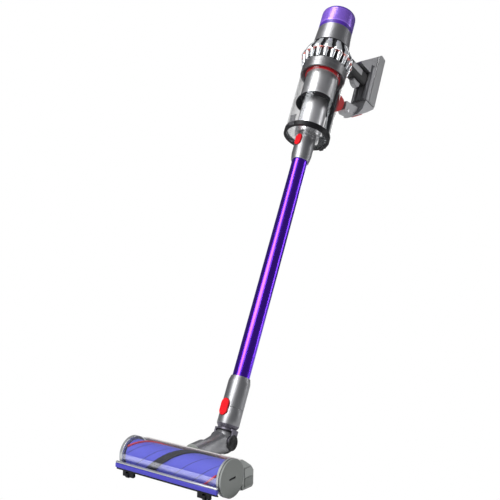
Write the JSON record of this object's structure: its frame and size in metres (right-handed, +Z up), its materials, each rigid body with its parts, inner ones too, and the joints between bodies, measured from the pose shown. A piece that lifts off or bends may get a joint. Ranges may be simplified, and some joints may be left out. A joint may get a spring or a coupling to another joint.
{
  "type": "cordless stick vacuum",
  "caption": "Cordless stick vacuum with a powered roller head, jointed neck, straight purple wand, clear dust bin, cyclone pack and pistol-grip battery handle.",
  "frame": {"origin": "centre of the hand grip, inside the bar between the motor housing and the battery dock", "axes": "+Z up from the floor the cleaner head stands on; +X along the cleaner head's width, towards its removable end cap; -Y is the head's front edge, and the wand leans back towards +Y"},
  "size_m": [0.262, 0.8349, 1.1122],
  "materials": {
    "gunmetal": "satin",
    "battery": "satin",
    "silver": "metallic satin",
    "steel": "brushed",
    "nickel": "mirror plated",
    "pale": "satin",
    "black": "satin",
    "soft_black": "matte",
    "bristle": "matte",
    "red_bristle": "matte",
    "red": "gloss",
    "purple": "anodised",
    "clear": "clear",
    "violet_clear": "tinted",
    "paper": "matte",
    "copper": "satin",
    "screen": "gloss",
    "stone": "satin",
    "violet": "matte",
    "lavender": "matte"
  },
  "bodies": {
    "handheld": {"inlet_duct": "gunmetal", "skirt": "black", "shroud": "silver", "red_ring": "red", "collar": "gunmetal", "cyclone_cones": "nickel", "cyclone_pack": "nickel", "motor_housing": "gunmetal", "motor_can": "steel", "rear_core": "black", "display": "screen", "grip": "soft_black", "grip_saddle": "pale", "battery_dock": "gunmetal", "handle_foot": "gunmetal", "bin_rail": "black", "strut_pin": "steel"},
    "rotor": {"rotor": "copper"},
    "filter": {"filter_cap": "violet_clear", "filter_pleats": "paper"},
    "mode_button": {"mode_button": "pale"},
    "trigger": {"trigger": "pale"},
    "battery": {"battery_pack": "battery"},
    "battery_release": {"battery_release": "red"},
    "bin_lever": {"bin_lever": "red"},
    "bin": {"bin_shell": "clear", "hinge_bracket": "black"},
    "lid": {"lid_ring": "black", "lid_window": "clear", "lid_nozzle": "silver"},
    "lid_catch": {"lid_catch": "pale"},
    "wand": {"lower_cuff": "gunmetal", "wand_tube": "purple", "upper_cuff": "gunmetal"},
    "wand_latch": {"wand_latch": "red"},
    "neck": {"neck_socket": "gunmetal"},
    "head_latch": {"head_latch": "red"},
    "yoke": {"yoke": "gunmetal", "elbow_pin": "steel"},
    "head": {"left_end_plate": "stone", "right_end_plate": "stone", "front_bumper": "violet", "front_rail": "silver", "front_lip": "stone", "roller_cover": "clear", "chassis": "stone", "comb": "pale", "glide": "soft_black", "brush_motor": "steel", "roller_bearing": "steel", "lower_duct": "gunmetal", "bellows": "soft_black"},
    "roller": {"roller_core": "lavender", "bristle_band": "bristle", "bristle_strip": "red_bristle"},
    "end_cap": {"end_cap": "stone"},
    "wheel_left": {"wheel_left": "soft_black"},
    "wheel_right": {"wheel_right": "soft_black"},
    "front_wheel_left": {"front_wheel_left": "black"},
    "front_wheel_right": {"front_wheel_right": "black"}
  },
  "joints": [
    {"name": "bin_slide", "type": "slide", "parent": "handheld", "child": "bin", "axis": [0, -0.4155, -0.9096], "range_m": [0, 0.06]},
    {"name": "lid_hinge", "type": "hinge", "parent": "bin", "child": "lid", "pos_m": [-0.00652, -0.1494, -0.23574], "axis": [0.9856, -0.154, 0.0704], "range_deg": [0, 85]},
    {"name": "lid_catch_swing", "type": "hinge", "parent": "bin", "child": "lid_catch", "pos_m": [-0.02701, -0.24956, -0.168], "axis": [-0.9856, 0.154, -0.0704], "range_deg": [0, 6], "stiffness_Nm_per_rad": 0.5, "springref_deg": -5.73},
    {"name": "wand_release", "type": "slide", "parent": "lid", "child": "wand", "axis": [0, -0.4155, -0.9096], "range_m": [0, 0.03]},
    {"name": "wand_latch_press", "type": "slide", "parent": "wand", "child": "wand_latch", "axis": [0.1693, 0.8965, -0.4095], "range_m": [0, 0.0014], "stiffness_N_per_m": 500, "springref_m": -0.002},
    {"name": "head_release", "type": "slide", "parent": "wand", "child": "neck", "axis": [0, -0.4155, -0.9096], "range_m": [0, 0.03]},
    {"name": "head_latch_press", "type": "slide", "parent": "neck", "child": "head_latch", "axis": [0.1693, 0.8965, -0.4095], "range_m": [0, 0.0014], "stiffness_N_per_m": 500, "springref_m": -0.002},
    {"name": "neck_swivel", "type": "hinge", "parent": "neck", "child": "yoke", "pos_m": [-0.01693, -0.52196, -0.90549], "axis": [0, 0.4155, 0.9096], "range_deg": [-89.75, 70.25]},
    {"name": "elbow_pitch", "type": "hinge", "parent": "yoke", "child": "head", "pos_m": [-0.01693, -0.52196, -0.90549], "axis": [1, 0, 0], "range_deg": [-24.5, 50]},
    {"name": "brush_spin", "type": "hinge", "parent": "head", "child": "roller", "pos_m": [-0.01693, -0.66096, -0.92149], "axis": [1, 0, 0], "continuous": true},
    {"name": "end_cap_turn", "type": "hinge", "parent": "head", "child": "end_cap", "pos_m": [-0.01693, -0.66096, -0.92149], "axis": [1, 0, 0], "range_deg": [0, 90]},
    {"name": "wheel_left_roll", "type": "hinge", "parent": "head", "child": "wheel_left", "pos_m": [-0.11293, -0.58296, -0.95069], "axis": [1, 0, 0], "continuous": true},
    {"name": "wheel_right_roll", "type": "hinge", "parent": "head", "child": "wheel_right", "pos_m": [0.07906, -0.58296, -0.95069], "axis": [1, 0, 0], "continuous": true},
    {"name": "front_wheel_left_roll", "type": "hinge", "parent": "head", "child": "front_wheel_left", "pos_m": [-0.11543, -0.69976, -0.95249], "axis": [1, 0, 0], "continuous": true},
    {"name": "front_wheel_right_roll", "type": "hinge", "parent": "head", "child": "front_wheel_right", "pos_m": [0.08156, -0.69976, -0.95249], "axis": [1, 0, 0], "continuous": true},
    {"name": "filter_turn", "type": "hinge", "parent": "handheld", "child": "filter", "pos_m": [-0.01693, -0.06492, 0.09507], "axis": [0, 0.4155, 0.9096], "range_deg": [0, 25]},
    {"name": "rotor_spin", "type": "hinge", "parent": "handheld", "child": "rotor", "pos_m": [-0.01693, -0.0857, 0.04959], "axis": [0, 0.4155, 0.9096], "continuous": true},
    {"name": "mode_button_press", "type": "slide", "parent": "handheld", "child": "mode_button", "axis": [0, -0.4155, -0.9096], "range_m": [0, 0.001], "stiffness_N_per_m": 200, "springref_m": -0.002},
    {"name": "trigger_press", "type": "slide", "parent": "handheld", "child": "trigger", "axis": [0, 0.4155, 0.9096], "range_m": [0, 0.0035], "stiffness_N_per_m": 300, "springref_m": -0.003},
    {"name": "bin_lever_push", "type": "slide", "parent": "handheld", "child": "bin_lever", "axis": [0, -0.4155, -0.9096], "range_m": [0, 0.012], "stiffness_N_per_m": 250, "springref_m": -0.006},
    {"name": "battery_slide", "type": "slide", "parent": "handheld", "child": "battery", "axis": [0, 0.4155, 0.9096], "range_m": [0, 0.06]},
    {"name": "battery_release_press", "type": "slide", "parent": "handheld", "child": "battery_release", "axis": [-0.1164, -0.3141, 0.9422], "range_m": [0, 0.002], "stiffness_N_per_m": 500, "springref_m": -0.002}
  ]
}
